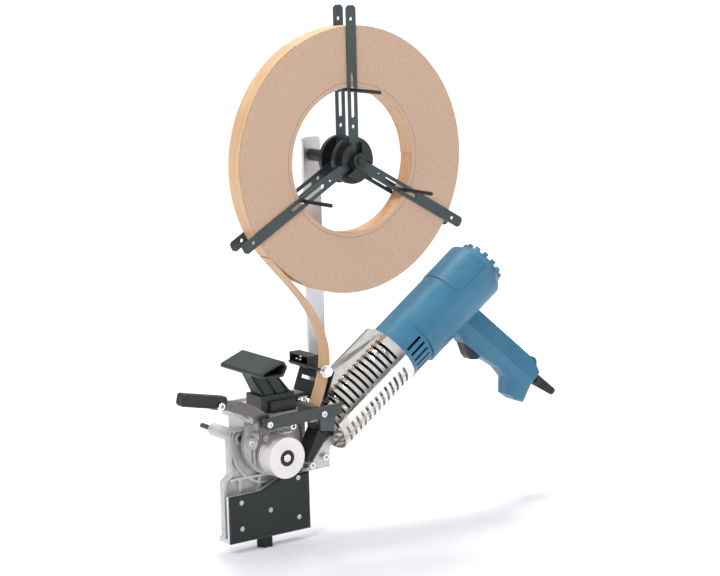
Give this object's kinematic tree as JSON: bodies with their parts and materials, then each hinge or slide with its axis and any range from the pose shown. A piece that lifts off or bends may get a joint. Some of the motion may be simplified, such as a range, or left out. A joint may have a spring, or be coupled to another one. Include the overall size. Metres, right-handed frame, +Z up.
{
  "type": "portable edge banding machine",
  "caption": "Hand-held edge bander: hot-air gun melts glue on tape fed from an overhead reel, a roller presses it on the panel's edge and a lever cuts it.",
  "frame": {"origin": "the panel's upper front corner under the pressure roller's axis: on the plane of the sole's face and on the line the roller touches", "axes": "+X along the panel's edge toward the gun, +Y away from the operator through the sole, +Z up toward the reel"},
  "size_m": [0.553, 0.1714, 0.6057],
  "materials": {
    "sole_plastic": "fine satin black",
    "black_plastic": "moulded black",
    "cast_alloy": "shot-blasted die casting",
    "sheet_alloy": "brushed sheet",
    "bright_steel": "bright plated",
    "polished_roller": "fine turned",
    "grey_steel": "ground",
    "black_steel": "blackened",
    "arm_steel": "gunmetal coating",
    "spring_steel": "drawn wire",
    "gun_plastic": "moulded blue",
    "guard_chrome": "mirror plated",
    "edging_tape": "wood-effect edging, glued",
    "rubber": "moulded",
    "brass": "turned",
    "ceramic": "fired ceramic",
    "motor_steel": "pressed"
  },
  "bodies": {
    "machine": {"main_frame": "cast_alloy", "support_rod": "black_steel", "roller_housing": "cast_alloy", "roller_axle": "grey_steel", "roller_screw": "bright_steel", "cap_screws": "bright_steel", "top_grip": "black_plastic", "base_block": "black_plastic", "fulcrum_pin": "grey_steel", "return_spring": "spring_steel", "tape_chute": "grey_steel", "feed_shoe": "spring_steel", "guide_plate": "black_steel", "guide_channel": "black_steel", "post_bracket": "sheet_alloy", "reel_post": "sheet_alloy", "reel_spindle": "grey_steel", "axle_spacer": "black_steel", "axle_nut": "bright_steel", "tape_strand": "edging_tape", "gun_sleeve": "gun_plastic", "rear_grille": "gun_plastic", "heater_tube": "bright_steel", "heater_core": "ceramic", "gun_motor": "motor_steel", "hot_guard": "guard_chrome", "nozzle": "black_steel", "gun_bracket": "sheet_alloy", "cable_boot": "rubber", "gun_screws": "bright_steel", "gun_shell_front": "gun_plastic", "gun_shell_back": "gun_plastic"},
    "sole": {"sole_pad": "sole_plastic", "sole_screws": "brass", "sole_carrier": "sheet_alloy", "carrier_dowels": "grey_steel"},
    "sole_knob": {"clamp_knob": "black_plastic"},
    "roller": {"press_roller": "polished_roller", "roller_bush": "black_plastic", "roller_flange": "bright_steel"},
    "lever": {"lever_plate": "grey_steel", "lever_grip": "black_plastic", "lever_screw": "bright_steel"},
    "link": {"link_bar": "black_steel", "link_screws": "bright_steel", "blade_carrier": "grey_steel", "cutter_blade": "bright_steel"},
    "width_stop": {"guide_rod": "grey_steel", "thumb_screw": "bright_steel"},
    "wing": {"wing_nut": "bright_steel"},
    "reel": {"hub_rear": "black_plastic", "rear_arms": "arm_steel", "reel_pins": "black_steel", "tape_coil": "edging_tape"},
    "reel_front": {"hub_front": "black_plastic", "front_arms": "arm_steel"},
    "reel_knob": {"hub_knob": "black_plastic"},
    "fan": {"gun_fan": "black_plastic"},
    "gun_trigger": {"trigger": "black_plastic"},
    "heat_dial": {"temperature_dial": "gun_plastic"}
  },
  "joints": [
    {"name": "sole_slide", "type": "slide", "parent": "machine", "child": "sole", "axis": [0, 1, 0], "range_m": [-0.004, 0.004]},
    {"name": "sole_knob_turn", "type": "hinge", "parent": "machine", "child": "sole_knob", "pos_m": [-0.0086, 0.01575, -0.078], "axis": [0, 0, 1], "continuous": true},
    {"name": "roller_spin", "type": "hinge", "parent": "machine", "child": "roller", "pos_m": [0, -0.012, 0.0235], "axis": [0, 1, 0], "continuous": true},
    {"name": "lever_swing", "type": "hinge", "parent": "machine", "child": "lever", "pos_m": [-0.0246, -0.01695, 0.0493], "axis": [0, -1, 0], "range_deg": [0, 24], "stiffness_Nm_per_rad": 0.6, "springref_deg": -22.92, "deforming": ["return_spring"]},
    {"name": "link_slide", "type": "slide", "parent": "machine", "child": "link", "axis": [-1, 0, 0], "range_m": [0, 0.00766]},
    {"name": "width_stop_slide", "type": "slide", "parent": "machine", "child": "width_stop", "axis": [0, -1, 0], "range_m": [0, 0.02]},
    {"name": "wing_turn", "type": "hinge", "parent": "machine", "child": "wing", "pos_m": [0.062, 0.036, 0.1191], "axis": [1, 0, 0], "continuous": true},
    {"name": "reel_spin", "type": "hinge", "parent": "machine", "child": "reel", "pos_m": [0.1014, -0.01, 0.3485], "axis": [0, 1, 0], "continuous": true},
    {"name": "reel_front_slide", "type": "slide", "parent": "reel", "child": "reel_front", "axis": [0, -1, 0], "range_m": [0, 0.014]},
    {"name": "reel_knob_turn", "type": "hinge", "parent": "reel_front", "child": "reel_knob", "pos_m": [0.1014, -0.034, 0.3485], "axis": [0, 1, 0], "continuous": true},
    {"name": "fan_spin", "type": "hinge", "parent": "machine", "child": "fan", "pos_m": [0.22535, 0.014, 0.14489], "axis": [0.8141, 0, 0.5807], "continuous": true},
    {"name": "trigger_press", "type": "slide", "parent": "machine", "child": "gun_trigger", "axis": [0.8141, 0, 0.5807], "range_m": [0, 0.005], "stiffness_N_per_m": 400, "springref_m": -0.003},
    {"name": "heat_dial_turn", "type": "hinge", "parent": "machine", "child": "heat_dial", "pos_m": [0.38265, 0.014, 0.0716], "axis": [0, 1, 0], "range_deg": [0, 270]}
  ],
  "couplings": [
    {"joint": "link_slide", "follows": "lever_swing", "m_per_rad": 0.018282}
  ]
}
